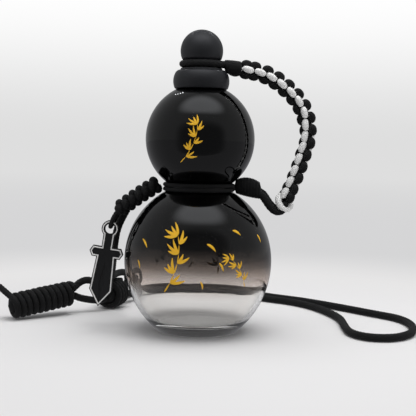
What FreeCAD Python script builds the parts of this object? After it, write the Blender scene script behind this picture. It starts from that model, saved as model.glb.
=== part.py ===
# Gourd-shaped glass water bottle with a screw cap, a braided cord handle, a charm and a cord strap.
import FreeCAD
import Part
import math
import os

Vector = FreeCAD.Vector

# Glass body, in millimetres with its base on z = 0
lower_bulb_radius = 55.1
lower_bulb_height = 53.3
lower_bulb_low_arc = 68.0
lower_bulb_high_arc = 59.5
upper_bulb_radius = 40.6
bulb_spacing = 90.7
upper_bulb_low_arc = 41.0
upper_bulb_high_arc = 41.5
waist_fillet = 3.6
heel_fillet = 7.0
inner_heel_fillet = 14.0
glass_wall = 3.0
base_thickness = 7.0
neck_radius = 12.5
neck_length = 9.05
neck_root_fillet = 1.8

# Screw cap
skirt_radius = 20.9
skirt_side_arc = 13.0
skirt_drop = 5.6
skirt_top_corner = 4.2
skirt_top_angle = 28.0
skirt_foot_fillet = 1.0
flange_radius = 15.5
flange_edge_fillet = 0.5
groove_radius = 11.2
ball_radius = 15.8
ball_cut_radius = 14.4
cap_web = 1.4
liner_wall = 1.3
gasket_thickness = 1.2
gasket_overlap = 0.2

# Clearances
thread_clearance = 0.4
insert_clearance = 0.05
seal_clearance = 0.05
shoulder_clearance = 0.4
cord_clearance = 0.3
groove_clearance = 0.5

# Cap loop and its thread-wrapped throat
loop_cord = 5.2
loop_cord_gap = 0.2
loop_bend_reach = 1.7
loop_corner_back = 2.4
throat_start = 18.0
throat_swell = 4.5
throat_length = 12.0
throat_drop = 2.3
throat_middle_drop = 2.5
throat_half_width = 5.6
throat_half_height = 5.5
throat_end_height = 4.8

# Braided handle: four beaded strands about a middle line that bows from the throat to its foot beside
# the waist, as (distance out from the lower bulb's side, share of the way up from foot to throat)
handle_start_gap = 0.2
handle_start_drop = 0.6
handle_foot_out = 9.5
handle_foot_drop = 8.2
handle_bow = [(-6.6, 0.957), (7.5, 0.866), (18.9, 0.740), (24.5, 0.590), (25.3, 0.486),
              (22.5, 0.361), (17.3, 0.195)]
handle_twist = 45.0
handle_twist_start = 0.42
handle_twist_end = 0.62
handle_bead_count = 14
strand_offset = 4.3
strand_crest = 2.95
strand_valley = 2.0
bead_neck_share = 0.06
bead_round_share = 0.3
collar_radius = 6.4
collar_height = 4.6
collar_edge = 1.6
collar_gap = 2.2
tail_cord = 4.8
tail_half_shift = (0.35, 2.4, 0.75)
tail_from_foot = [(-0.3, -4.4), (-1.6, -8.8), (-6.4, -9.6), (-11.0, -5.6)]
tail_to_knot = [(5.6, -6.4), (2.7, -2.2), (-1.1, -0.4)]

# Waist cord, and the thread-wrapped knot on its right
waist_cord_size = 3.0
waist_turn_gap = 0.3
waist_cord_opening = 26.0
waist_knot_length = 17.4
waist_knot_swell = 9.5
waist_knot_half_height = 7.2
waist_knot_half_width = 6.2
waist_knot_lift = 0.8
waist_knot_drop = 2.6
waist_knot_tip_height = 5.0
waist_knot_foot_height = 4.2

# Knotted hanger on the left, down to its foot beside the lower bulb, and the thin cord loop from that foot
hanger_foot_out = 5.4
hanger_foot_drop = 18.8
hanger_lift = 2.4
hanger_standoff = 2.4
hanger_rise = 0.8
hanger_bump_count = 6
hanger_crest = 6.2
hanger_valley = 4.8
hanger_cord = 3.6
hanger_loop_line = [(1.0, -2.4, 1.2), (-3.2, -4.6, -5.2), (-5.4, -4.6, -12.3),
                    (-5.4, 4.6, -12.3), (-1.6, 4.6, -5.2), (1.8, 2.4, 1.2)]

# Charm: a flat sword shape below an eye, tilted (in degrees) because its guard leans on the glass
charm_tilt = 8.3
charm_thickness = 3.0
charm_eye_radius = 6.4
charm_eye_hole = 3.7
charm_grip_width = 8.6
charm_guard_drop = 18.0
charm_guard_width = 25.6
charm_guard_height = 8.2
charm_guard_point = 2.2
charm_blade_width = 14.2
charm_blade_flare = 17.2
charm_blade_shoulder = 47.0
charm_tip_drop = 59.4
charm_edging_inset = 0.7
charm_edging_width = 0.9
charm_edging_height = 0.4
charm_fuller_width = 3.6
charm_fuller_depth = 0.5
charm_fuller_margin = 5.0

# Shoulder strap: one round cord and two wrapped knots
strap_cord = 6.0
wrap_cord = 4.8
wrap_gap = 0.5
wrap_seat = 0.25
end_knot_core = 5.3
end_knot_turn_count = 10
end_knot_foot = (-147.0, 27.0, 10.2)
end_knot_direction = (46.6, 36.0, 6.9)
end_knot_start_angle = 24.0
end_knot_tail = 20.0
slider_knot_core = 7.2
slider_knot_turn_count = 4
slider_knot_foot = (-76.0, 79.0, 12.5)
slider_knot_direction = (6.0, 19.0, 0.0)
slider_knot_start_angle = 0.0
strap_riser_line = [(-53.8, 4.6, 91.0), (-57.6, 9.2, 84.6), (-62.2, 13.0, 74.6), (-64.8, 21.0, 61.3),
                    (-68.0, 43.0, 42.0), (-70.2, 58.0, 33.4), (-71.1, 77.0, 29.0), (-70.1, 93.0, 28.6),
                    (-66.0, 108.0, 28.4), (-62.1, 122.0, 25.5), (-61.9, 123.0, 15.4), (-66.5, 108.8, 15.9),
                    (-67.9, 104.6, 15.9)]
strap_leg_upper_line = [(-101.2, 62.8, 20.7), (-97.2, 65.6, 24.8), (-92.0, 68.0, 26.8), (-86.5, 69.6, 25.6),
                        (-81.3, 71.8, 20.4), (-77.6, 77.6, 15.8)]
strap_leg_lower_line = [(-100.0, 63.8, 13.6), (-96.6, 66.0, 11.8), (-91.6, 68.8, 10.4), (-86.4, 69.8, 9.6),
                        (-81.1, 71.4, 9.2), (-77.4, 78.2, 9.2)]
strap_main_line = [(-64.9, 103.8, 10.3), (-61.2, 114.8, 8.9), (-54.5, 131.0, 4.6), (-44.0, 149.0, 3.1),
                   (-30.0, 161.0, 3.1), (-8.0, 167.5, 3.1), (16.0, 166.5, 3.1), (37.0, 154.0, 3.1),
                   (61.7, 133.2, 3.1), (83.8, 118.7, 3.1), (100.1, 95.8, 3.1), (109.7, 69.0, 3.1),
                   (115.5, 40.9, 3.1), (113.4, 8.0, 3.1), (113.6, -16.0, 3.1), (123.2, -31.0, 3.1),
                   (140.0, -33.0, 3.1), (154.5, -22.0, 3.1), (163.5, -4.0, 3.1), (168.0, 20.0, 3.1),
                   (164.5, 46.0, 3.1), (148.6, 64.2, 3.1), (126.4, 90.7, 3.1), (106.8, 112.6, 3.1),
                   (89.0, 129.6, 3.1), (62.7, 148.0, 3.1), (42.0, 171.0, 3.1), (18.0, 186.0, 3.1),
                   (-8.0, 188.5, 3.1), (-34.0, 182.0, 3.1), (-53.0, 166.0, 3.1), (-64.6, 138.5, 3.6),
                   (-68.2, 116.2, 8.8), (-70.8, 105.7, 10.3)]

# Share of the shorter run beside a cord's bend that the bend's arc takes up
bend_share = 0.45

# Length along a wound cord, in diameters, within which it counts as its own neighbour
neighbour_reach = 2.5


def save(name, *solids):
    """Write one node: a single solid, or a group of separate solids."""
    shape = solids[0] if len(solids) == 1 else Part.makeCompound(list(solids))
    shape.exportStep("parts/%s.step" % name)
    volume = sum(solid.Volume for solid in solids)
    print("%-22s valid %s  solids %d  volume %.1f" % (name, shape.isValid(), len(shape.Solids), volume))


def flat(x, z):
    """A point in the plane y = 0."""
    return Vector(x, 0, z)


def line(start, end):
    """A straight edge."""
    return Part.LineSegment(start, end).toShape()


def polyline(points):
    """Straight edges through the points in turn."""
    return [line(start, end) for start, end in zip(points, points[1:])]


def arc_about(centre, start, end):
    """The shorter arc from start to end about a centre."""
    towards = (start - centre) + (end - centre)
    middle = centre + towards.normalize() * (start - centre).Length
    return Part.Arc(start, middle, end).toShape()


def arc_in_corner(start, corner, end):
    """The arc from start to end whose two tangents cross at the corner."""
    chord_middle = (start + end) * 0.5
    slope = (end - start).Length / 2 / (corner - start).Length
    middle = chord_middle + (corner - chord_middle) * (slope / (1 + slope))
    return Part.Arc(start, middle, end).toShape()


def along(centre, target, distance):
    """The point at a distance from the centre towards the target."""
    return centre + (target - centre).normalize() * distance


def meeting_point(first, first_distance, second, second_distance):
    """The outer point at given distances from two centres in the plane y = 0."""
    axis = second - first
    span = axis.Length
    axis.normalize()
    forward = (first_distance ** 2 - second_distance ** 2 + span ** 2) / (2 * span)
    side = math.sqrt(first_distance ** 2 - forward ** 2)
    return first + axis * forward + Vector(axis.z, 0, -axis.x) * side


def turned(edges):
    """A closed profile turned about the Z axis."""
    face = Part.Face(Part.Wire(edges))
    return face.revolve(Vector(), Vector(0, 0, 1), 360)


def tube(edges, diameter):
    """A round cord carried along a path of tangent edges."""
    path = Part.Wire(edges)
    start = edges[0].valueAt(edges[0].FirstParameter)
    heading = edges[0].tangentAt(edges[0].FirstParameter)
    section = Part.Wire(Part.Circle(start, heading, diameter / 2).toShape())
    solid = path.makePipeShell([section], True, False)
    share = solid.Volume / (math.pi * diameter ** 2 / 4 * path.Length)
    print("    tube length %.1f, volume over section times length %.4f" % (path.Length, share))
    return solid


def cord(points, diameter):
    """A cord along hand-chosen points: straight runs joined by arcs as large as the runs allow."""
    points = [Vector(*point) for point in points]
    runs = [(end - start).Length for start, end in zip(points, points[1:])]
    edges = []
    radii = []
    last = points[0]
    for index in range(1, len(points) - 1):
        corner = points[index]
        reach = bend_share * min(runs[index - 1], runs[index])
        bend_start = along(corner, points[index - 1], reach)
        bend_end = along(corner, points[index + 1], reach)
        edges.append(line(last, bend_start))
        edges.append(arc_in_corner(bend_start, corner, bend_end))
        turn = (corner - points[index - 1]).getAngle(points[index + 1] - corner)
        radii.append(reach / math.tan(turn / 2))
        last = bend_end
    edges.append(line(last, points[-1]))
    print("    bend radii " + " ".join("%.0f" % radius for radius in radii))
    return tube(edges, diameter)


def biarc(start, start_heading, end, end_heading):
    """Two tangent arcs that join two points with given headings."""
    reach = end - start
    headings = start_heading + end_heading
    spread = 2 * (1 - start_heading.dot(end_heading))
    pull = reach.dot(headings)
    length = (math.sqrt(pull ** 2 + spread * reach.dot(reach)) - pull) / spread
    first_corner = start + start_heading * length
    last_corner = end - end_heading * length
    joint = (first_corner + last_corner) * 0.5
    return [arc_in_corner(start, first_corner, joint), arc_in_corner(joint, last_corner, end)]


def winding(stations, diameter, lead_in, lead_out):
    """One unbroken tube through (point, heading) stations, straight at both ends; prints its least gap."""
    first, first_heading = stations[0]
    last, last_heading = stations[-1]
    edges = [line(first - first_heading * lead_in, first)]
    for (start, start_heading), (end, end_heading) in zip(stations, stations[1:]):
        edges += biarc(start, start_heading, end, end_heading)
    edges.append(line(last, last + last_heading * lead_out))
    points = []
    travelled = []
    distance = 0.0
    samples = 16
    for edge in edges:
        for point in edge.discretize(samples)[:-1]:
            distance += (point - points[-1]).Length if points else 0.0
            points.append(point)
            travelled.append(distance)
    gap = min((points[i] - points[j]).Length for i in range(len(points)) for j in range(i)
              if travelled[i] - travelled[j] > neighbour_reach * diameter)
    print("    least gap of the winding to itself %.2f" % (gap - diameter))
    return tube(edges, diameter)


def section_ring(centre, heading, radius):
    """A circle square to a heading in the plane y = 0, with its seam always on the same side."""
    side = Vector(0, 1, 0)
    turn = FreeCAD.Rotation(side, heading.cross(side), heading, "ZXY")
    ring = Part.Wire(Part.Circle(Vector(), Vector(0, 0, 1), radius).toShape())
    ring.Placement = FreeCAD.Placement(centre, turn)
    return ring


def beaded(place, beads, phase, crest, valley):
    """A beaded strand: a ruled loft through four circles a bead; place(t) gives centre and heading."""
    rings = []
    profile = [(bead_neck_share, valley), (bead_round_share, crest),
               (1 - bead_round_share, crest), (1 - bead_neck_share, valley)]
    for index in range(beads + 1):
        for share, radius in profile:
            position = (index + share - phase) / beads
            if 0 <= position <= 1:
                rings.append(section_ring(*place(position), radius))
    return Part.makeLoft(rings, True, True)


def oval(x, y_half, z_middle, z_half):
    """An upright ellipse square to the X axis."""
    long_axis, short_axis = max(y_half, z_half), min(y_half, z_half)
    lying = y_half >= z_half
    ellipse = Part.Ellipse(Vector(), long_axis, short_axis)
    wire = Part.Wire(ellipse.toShape())
    wide = Vector(0, 1, 0) if lying else Vector(0, 0, 1)
    heading = Vector(1, 0, 0)
    turn = FreeCAD.Rotation(wide, heading.cross(wide), heading, "ZXY")
    wire.Placement = FreeCAD.Placement(flat(x, z_middle), turn)
    return wire


# Centres of the glass profile's arcs, and the heights that follow from them
upper_bulb_height = lower_bulb_height + bulb_spacing
low_centre = flat(lower_bulb_radius - lower_bulb_low_arc, lower_bulb_height)
belly_centre = flat(lower_bulb_radius - lower_bulb_high_arc, lower_bulb_height)
chest_centre = flat(upper_bulb_radius - upper_bulb_low_arc, upper_bulb_height)
shoulder_centre = flat(upper_bulb_radius - upper_bulb_high_arc, upper_bulb_height)
waist_centre = meeting_point(belly_centre, lower_bulb_high_arc + waist_fillet,
                             chest_centre, upper_bulb_low_arc + waist_fillet)


def shoulder_height(radius, clear):
    """Height of the surface that stands a given distance off the glass shoulder, at a radius."""
    return shoulder_centre.z + math.sqrt((upper_bulb_high_arc + clear) ** 2 - (radius - shoulder_centre.x) ** 2)


root_centre = flat(neck_radius + neck_root_fillet,
                   shoulder_height(neck_radius + neck_root_fillet, neck_root_fillet))
lip_height = shoulder_height(neck_radius, 0) + neck_length

# Heights and radii of the cap that follow from the neck
gasket_foot = lip_height + seal_clearance
gasket_top = gasket_foot + gasket_thickness
liner_top = gasket_top + liner_wall
cap_ceiling = liner_top + insert_clearance
flange_top = cap_ceiling + cap_web
liner_bore = neck_radius + thread_clearance
liner_radius = liner_bore + liner_wall
cavity_radius = liner_radius + insert_clearance
loop_height = flange_top + groove_clearance + loop_cord / 2
ball_foot = flange_top + loop_cord + 2 * groove_clearance
throat_end = throat_start + throat_length

# The waist cord lies in the groove, one turn each side of its middle
waist_turn_step = waist_cord_size + waist_turn_gap
waist_cord_line = waist_centre.x - math.sqrt(
    (waist_fillet - waist_cord_size / 2 - cord_clearance) ** 2 - (waist_turn_step / 2) ** 2)
waist_cord_reach = waist_cord_line + waist_cord_size / 2 + cord_clearance
waist_knot_tip = flat(waist_cord_reach + waist_knot_length, waist_centre.z - waist_knot_drop)

# Feet of the handle and of the hanger, beside the lower bulb
handle_foot = flat(lower_bulb_radius + handle_foot_out, waist_centre.z - handle_foot_drop)
hanger_foot = flat(-lower_bulb_radius - hanger_foot_out, waist_centre.z - hanger_foot_drop)
hanger_loop_route = [hanger_foot + Vector(*point) for point in hanger_loop_line]


def glass_face(depth, floor_height, corner):
    """One face of the glass, a given depth inside the outer one, from its floor's edge up to the neck."""
    low_arc = lower_bulb_low_arc - depth
    heel_height = floor_height + corner
    heel_centre = flat(low_centre.x + math.sqrt(
        (low_arc - corner) ** 2 - (heel_height - low_centre.z) ** 2), heel_height)
    floor_edge = flat(heel_centre.x, floor_height)
    heel_end = along(low_centre, heel_centre, low_arc)
    belly = flat(lower_bulb_radius - depth, lower_bulb_height)
    waist_low = along(belly_centre, waist_centre, lower_bulb_high_arc - depth)
    waist_high = along(chest_centre, waist_centre, upper_bulb_low_arc - depth)
    chest = flat(upper_bulb_radius - depth, upper_bulb_height)
    root_start = along(shoulder_centre, root_centre, upper_bulb_high_arc - depth)
    root_end = flat(neck_radius - depth, root_centre.z)
    edges = [arc_about(heel_centre, floor_edge, heel_end), arc_about(low_centre, heel_end, belly),
             arc_about(belly_centre, belly, waist_low), arc_about(waist_centre, waist_low, waist_high),
             arc_about(chest_centre, waist_high, chest), arc_about(shoulder_centre, chest, root_start),
             arc_about(root_centre, root_start, root_end)]
    return floor_edge, edges, root_end


def make_glass_body():
    """Gourd bottle of even wall with a flat thick base and a plain neck with a rounded lip."""
    outer_floor, outer, outer_root = glass_face(0, 0, heel_fillet)
    inner_floor, inner, inner_root = glass_face(glass_wall, base_thickness, inner_heel_fillet)
    lip_round = glass_wall / 2
    lip_centre = flat(neck_radius - lip_round, lip_height - lip_round)
    lip_outer = lip_centre + flat(lip_round, 0)
    lip_top = lip_centre + flat(0, lip_round)
    lip_inner = lip_centre - flat(lip_round, 0)
    floor_middle = flat(0, base_thickness)
    edges = [line(Vector(), outer_floor)] + outer
    edges += [line(outer_root, lip_outer), arc_about(lip_centre, lip_outer, lip_top),
              arc_about(lip_centre, lip_top, lip_inner), line(lip_inner, inner_root)]
    edges += inner[::-1] + polyline([inner_floor, floor_middle, Vector()])
    return turned(edges)


def make_cap_shell():
    """Cap: skirt ring that follows the glass shoulder, flange, cord groove and ball, open below."""
    skirt_centre = flat(skirt_radius - skirt_side_arc, lip_height - skirt_drop)
    shoulder_gap_arc = upper_bulb_high_arc + shoulder_clearance
    foot_centre = meeting_point(shoulder_centre, shoulder_gap_arc + skirt_foot_fillet,
                                skirt_centre, skirt_side_arc - skirt_foot_fillet)
    foot_inner = along(shoulder_centre, foot_centre, shoulder_gap_arc)
    foot_outer = along(skirt_centre, foot_centre, skirt_side_arc)
    skirt_inner = flat(cavity_radius, shoulder_height(cavity_radius, shoulder_clearance))
    top_angle = math.radians(skirt_top_angle)
    top_direction = flat(math.cos(top_angle), math.sin(top_angle))
    top_centre = skirt_centre + top_direction * (skirt_side_arc - skirt_top_corner)
    skirt_shoulder = skirt_centre + top_direction * skirt_side_arc
    skirt_high = flat(flange_radius, top_centre.z + math.sqrt(
        skirt_top_corner ** 2 - (flange_radius - top_centre.x) ** 2))
    edge_centre = flat(flange_radius - flange_edge_fillet, flange_top - flange_edge_fillet)
    edge_low = edge_centre + flat(flange_edge_fillet, 0)
    edge_high = edge_centre + flat(0, flange_edge_fillet)
    ball_centre = flat(0, ball_foot + math.sqrt(ball_radius ** 2 - ball_cut_radius ** 2))
    ball_edge = flat(ball_cut_radius, ball_foot)
    ball_top = ball_centre + flat(0, ball_radius)
    edges = [arc_about(shoulder_centre, skirt_inner, foot_inner), arc_about(foot_centre, foot_inner, foot_outer),
             arc_about(skirt_centre, foot_outer, skirt_shoulder),
             arc_about(top_centre, skirt_shoulder, skirt_high),
             line(skirt_high, edge_low), arc_about(edge_centre, edge_low, edge_high)]
    edges += polyline([edge_high, flat(groove_radius, flange_top), flat(groove_radius, ball_foot), ball_edge])
    edges += [arc_about(ball_centre, ball_edge, ball_top)]
    edges += polyline([ball_top, flat(0, cap_ceiling), flat(cavity_radius, cap_ceiling), skirt_inner])
    return turned(edges)


def make_cap_liner():
    """Threaded insert: a cup over the neck."""
    foot = root_centre.z + shoulder_clearance
    outline = [flat(liner_bore, foot), flat(liner_radius, foot), flat(liner_radius, liner_top),
               flat(0, liner_top), flat(0, gasket_top), flat(liner_bore, gasket_top), flat(liner_bore, foot)]
    return turned(polyline(outline))


def make_cap_gasket():
    """Sealing ring between the lip and the liner."""
    inner = neck_radius - glass_wall + gasket_overlap
    outer = neck_radius + gasket_overlap
    outline = [flat(inner, gasket_foot), flat(outer, gasket_foot), flat(outer, gasket_top),
               flat(inner, gasket_top), flat(inner, gasket_foot)]
    return turned(polyline(outline))


def make_cap_loop():
    """Cord round the cap's groove, with both ends side by side in the throat."""
    ring = groove_radius + cord_clearance + loop_cord / 2
    half_gap = (loop_cord + loop_cord_gap) / 2
    corner = Vector(throat_start - loop_corner_back, half_gap, loop_height)
    flat_distance = math.hypot(corner.x, corner.y)
    leave = math.atan2(corner.y, corner.x) + math.acos(ring / flat_distance)
    touch = Vector(ring * math.cos(leave), ring * math.sin(leave), loop_height)
    end = Vector(throat_start, half_gap, loop_height)
    bend_out = along(corner, end, loop_bend_reach)
    bend_in = along(corner, touch, loop_bend_reach)

    def mirrored(point):
        return Vector(point.x, -point.y, point.z)

    edges = [line(end, bend_out), arc_in_corner(bend_out, corner, bend_in), line(bend_in, touch),
             Part.Arc(touch, Vector(-ring, 0, loop_height), mirrored(touch)).toShape(),
             line(mirrored(touch), mirrored(bend_in)),
             arc_in_corner(mirrored(bend_in), mirrored(corner), mirrored(bend_out)),
             line(mirrored(bend_out), mirrored(end))]
    return tube(edges, loop_cord)


def make_cap_loop_whipping():
    """Wrapped throat: an oval sleeve from the two loop cords to the braid."""
    foot = throat_start + insert_clearance
    middle = throat_start + throat_swell
    start_half = loop_cord / 2 + cord_clearance
    sections = [oval(foot, loop_cord + cord_clearance, loop_height, start_half),
                oval(middle, throat_half_width, loop_height - throat_middle_drop, throat_half_height),
                oval(throat_end, throat_half_width, loop_height - throat_drop, throat_end_height)]
    return Part.makeLoft(sections, True, False)


handle_start = flat(throat_end + handle_start_gap, loop_height - throat_drop - handle_start_drop)
handle_rise = handle_start.z - handle_foot.z
handle_line = [flat(lower_bulb_radius + out, handle_foot.z + share * handle_rise) for out, share in handle_bow]
handle_curve = Part.BSplineCurve()
handle_curve.interpolate([handle_start] + handle_line + [handle_foot])
handle_length = handle_curve.length()


def handle_strand(around):
    """Places along one strand of the handle, at an angle about the middle line that the braid's twist turns."""
    def place(position):
        parameter = handle_curve.parameterAtDistance(position * handle_length)
        heading = handle_curve.tangent(parameter)[0]
        outward = Vector(0, 1, 0).cross(heading) * -1
        twisted = (position - handle_twist_start) / (handle_twist_end - handle_twist_start)
        angle = math.radians(around - handle_twist * min(max(twisted, 0), 1))
        offset = outward * math.cos(angle) + Vector(0, 1, 0) * math.sin(angle)
        return handle_curve.value(parameter) + offset * strand_offset, heading
    return place


def make_handle_strands(angles, phase):
    """Two opposite strands of the braid."""
    return [beaded(handle_strand(angle), handle_bead_count, phase, strand_crest, strand_valley)
            for angle in angles]


def make_handle_end_collar():
    """Rounded cord collar below the braid's end."""
    top = handle_foot.z - collar_gap
    foot = top - collar_height
    side = collar_radius - collar_edge
    edges = [line(flat(0, foot), flat(side, foot)),
             arc_about(flat(side, foot + collar_edge), flat(side, foot),
                       flat(collar_radius, foot + collar_edge)),
             line(flat(collar_radius, foot + collar_edge), flat(collar_radius, top - collar_edge)),
             arc_about(flat(side, top - collar_edge), flat(collar_radius, top - collar_edge), flat(side, top)),
             line(flat(side, top), flat(0, top)), line(flat(0, top), flat(0, foot))]
    collar = turned(edges)
    collar.translate(flat(handle_foot.x, 0))
    return collar


def make_handle_tail_cords():
    """Two cords side by side from the collar to the waist knot."""
    half = Vector(*tail_half_shift)
    route = [handle_foot + flat(*point) for point in tail_from_foot]
    route += [waist_knot_tip + flat(*point) for point in tail_to_knot]
    return [cord([point + half * side for point in route], tail_cord) for side in (-1, 1)]


def make_waist_cord():
    """Two turns in the waist groove, the step between them on the right behind the knot."""
    low = waist_centre.z - waist_turn_step / 2
    quarters = 4
    sweep = (360 - 2 * waist_cord_opening) / quarters
    stations = []
    for level in (low, low + waist_turn_step):
        for index in range(quarters + 1):
            angle = math.radians(waist_cord_opening + index * sweep)
            outward = Vector(math.cos(angle), math.sin(angle), 0)
            heading = Vector(-math.sin(angle), math.cos(angle), 0)
            stations.append((outward * waist_cord_line + Vector(0, 0, level), heading))
    return winding(stations, waist_cord_size, waist_cord_size, waist_cord_size)


def make_waist_knot_right():
    """Wrapped knot: an oval spindle from the waist cord to the handle's tail."""
    z = waist_centre.z + waist_knot_lift
    sections = [oval(waist_cord_reach, waist_cord_size, z, waist_knot_foot_height),
                oval(waist_cord_reach + waist_knot_swell, waist_knot_half_width, z, waist_knot_half_height),
                oval(waist_knot_tip.x, tail_cord, waist_knot_tip.z, waist_knot_tip_height)]
    return Part.makeLoft(sections, True, False)


def make_hanger_knot_left():
    """Row of cord knots from the waist cord, arched a little, down to its foot."""
    start = flat(-waist_cord_reach - hanger_standoff, waist_centre.z + hanger_lift)
    span = hanger_foot - start

    def place(position):
        centre = start + span * position + flat(0, 4 * hanger_rise * position * (1 - position))
        heading = span + flat(0, 4 * hanger_rise * (1 - 2 * position))
        return centre, heading.normalize()

    return beaded(place, hanger_bump_count, 0, hanger_crest, hanger_valley)


# The charm turns about the lowest run of the thin cord loop
charm_pivot = (hanger_loop_route[2] + hanger_loop_route[3]) * 0.5
charm_eye_drop = charm_eye_hole - hanger_cord / 2 - cord_clearance


def hang(shape):
    """Move a shape drawn with its eye's centre at the origin to its place on the cord."""
    shape.translate(flat(0, -charm_eye_drop))
    shape.rotate(Vector(), Vector(0, 1, 0), charm_tilt)
    shape.translate(charm_pivot)
    return shape


def charm_outline():
    """Closed outline of eye, grip, guard and blade in the plane of the front face."""
    front = -charm_thickness / 2
    grip = charm_grip_width / 2
    guard_top = charm_guard_drop - charm_guard_height / 2
    guard_foot = charm_guard_drop + charm_guard_height / 2
    guard = charm_guard_width / 2
    right = [(grip, math.sqrt(charm_eye_radius ** 2 - grip ** 2)), (grip, guard_top),
             (guard - charm_guard_point, guard_top), (guard, charm_guard_drop),
             (guard - charm_guard_point, guard_foot), (charm_blade_width / 2, guard_foot),
             (charm_blade_flare / 2, charm_blade_shoulder)]
    points = right + [(0, charm_tip_drop)] + [(-x, drop) for x, drop in reversed(right)]
    corners = [Vector(x, front, -drop) for x, drop in points]
    crown = Part.Arc(corners[-1], Vector(0, front, charm_eye_radius), corners[0]).toShape()
    return Part.Wire(polyline(corners) + [crown])


def make_pendant_charm():
    """Flat moulded charm with a round eye and a lozenge-shaped recess along its blade."""
    body = Part.Face(charm_outline()).extrude(Vector(0, charm_thickness, 0))
    eye = Part.makeCylinder(charm_eye_hole, 2 * charm_thickness, Vector(0, -charm_thickness, 0),
                            Vector(0, 1, 0))
    front = -charm_thickness / 2
    top = charm_guard_drop + charm_guard_height / 2 + charm_fuller_margin
    foot = charm_tip_drop - charm_fuller_margin
    wide = charm_blade_shoulder - charm_fuller_margin
    half = charm_fuller_width / 2
    recess_corners = [(0, top), (half, wide), (0, foot), (-half, wide), (0, top)]
    recess = Part.Face(Part.Wire(polyline([Vector(x, front, -drop) for x, drop in recess_corners])))
    body = body.cut([eye, recess.extrude(Vector(0, charm_fuller_depth, 0))])
    return hang(body.Solids[0])


def make_pendant_edging():
    """Raised line a little inside the charm's outline on its front."""
    outline = charm_outline()
    outer = outline.makeOffset2D(-charm_edging_inset, 2)
    inner = outline.makeOffset2D(-charm_edging_inset - charm_edging_width, 2)
    rim = Part.Face(outer).cut(Part.Face(inner))
    return hang(rim.extrude(Vector(0, -charm_edging_height, 0)).Solids[0])


def make_wrapped_knot(foot, direction, core_radius, turns, start_angle, tail):
    """Barrel knot: a plain core with the cord wound round it, its first end left as a straight tail."""
    foot = Vector(*foot)
    axis = Vector(*direction).normalize()
    level = axis.cross(Vector(0, 0, 1)).normalize()
    upward = level.cross(axis)
    pitch = wrap_cord + wrap_gap
    radius = core_radius + wrap_seat + wrap_cord / 2
    quarters = 4
    stations = []
    for index in range(turns * quarters + 1):
        angle = math.radians(start_angle) + 2 * math.pi * index / quarters
        advance = axis * (wrap_cord / 2 + pitch * index / quarters)
        around = upward * math.cos(angle) + level * math.sin(angle)
        heading = level * math.cos(angle) - upward * math.sin(angle)
        heading = heading * radius + axis * (pitch / (2 * math.pi))
        stations.append((foot + advance + around * radius, heading.normalize()))
    core = Part.makeCylinder(core_radius, turns * pitch + wrap_cord, foot, axis)
    return [core, winding(stations, wrap_cord, tail, wrap_cord)]


os.makedirs("parts", exist_ok=True)
save("glass_body", make_glass_body())
save("cap_shell", make_cap_shell())
save("cap_liner", make_cap_liner())
save("cap_gasket", make_cap_gasket())
save("cap_loop", make_cap_loop())
save("cap_loop_whipping", make_cap_loop_whipping())
save("handle_white_strands", *make_handle_strands((-90, 90), 0))
save("handle_black_strands", *make_handle_strands((0, 180), 0.5))
save("handle_end_collar", make_handle_end_collar())
save("handle_tail_cord", *make_handle_tail_cords())
save("waist_cord", make_waist_cord())
save("waist_knot_right", make_waist_knot_right())
save("hanger_knot_left", make_hanger_knot_left())
save("hanger_loop", cord(hanger_loop_route, hanger_cord))
save("pendant_charm", make_pendant_charm())
save("pendant_edging", make_pendant_edging())
save("strap_riser", cord(strap_riser_line, strap_cord))
save("strap_leg_upper", cord(strap_leg_upper_line, strap_cord))
save("strap_leg_lower", cord(strap_leg_lower_line, strap_cord))
save("strap_main", cord(strap_main_line, strap_cord))
save("strap_end_knot", *make_wrapped_knot(end_knot_foot, end_knot_direction, end_knot_core,
                                          end_knot_turn_count, end_knot_start_angle, end_knot_tail))
save("strap_slider_knot", *make_wrapped_knot(slider_knot_foot, slider_knot_direction, slider_knot_core,
                                             slider_knot_turn_count, slider_knot_start_angle, wrap_cord))
print("waist radius %.2f, lip %.2f, cap top %.2f, handle %.1f long" % (
    waist_centre.x - waist_fillet, lip_height,
    ball_foot + math.sqrt(ball_radius ** 2 - ball_cut_radius ** 2) + ball_radius, handle_length))
print("charm pivot %.3f %.3f, handle start %.2f %.2f, handle foot %.2f %.2f" % (
    charm_pivot.x, charm_pivot.z, handle_start.x, handle_start.z, handle_foot.x, handle_foot.z))
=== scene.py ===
"""Looks of a gourd water bottle: lacquered glass, screw cap, braided handle, knots, charm and strap."""

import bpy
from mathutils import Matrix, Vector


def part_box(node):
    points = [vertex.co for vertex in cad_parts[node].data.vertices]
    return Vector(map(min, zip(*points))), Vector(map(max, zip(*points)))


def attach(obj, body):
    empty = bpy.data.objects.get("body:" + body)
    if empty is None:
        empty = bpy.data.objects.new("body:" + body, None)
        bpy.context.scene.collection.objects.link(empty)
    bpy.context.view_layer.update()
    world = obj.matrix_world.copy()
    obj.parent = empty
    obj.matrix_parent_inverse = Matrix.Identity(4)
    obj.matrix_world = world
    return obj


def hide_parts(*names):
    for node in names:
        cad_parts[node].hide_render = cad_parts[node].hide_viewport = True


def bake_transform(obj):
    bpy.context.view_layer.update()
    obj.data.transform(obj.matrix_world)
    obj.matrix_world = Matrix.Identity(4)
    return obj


bl_info = {
    "name": "Gourd water bottle",
    "version": (1, 0, 0),
    "blender": (4, 5, 0),
    "location": "3D View > Sidebar > Gourd bottle",
    "description": "Builds the glass, cap, cords, knots, charm and studio of a gourd water bottle",
    "category": "Add Mesh",
}

import math

import bmesh
import bpy
import numpy as np
from mathutils import Matrix

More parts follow.
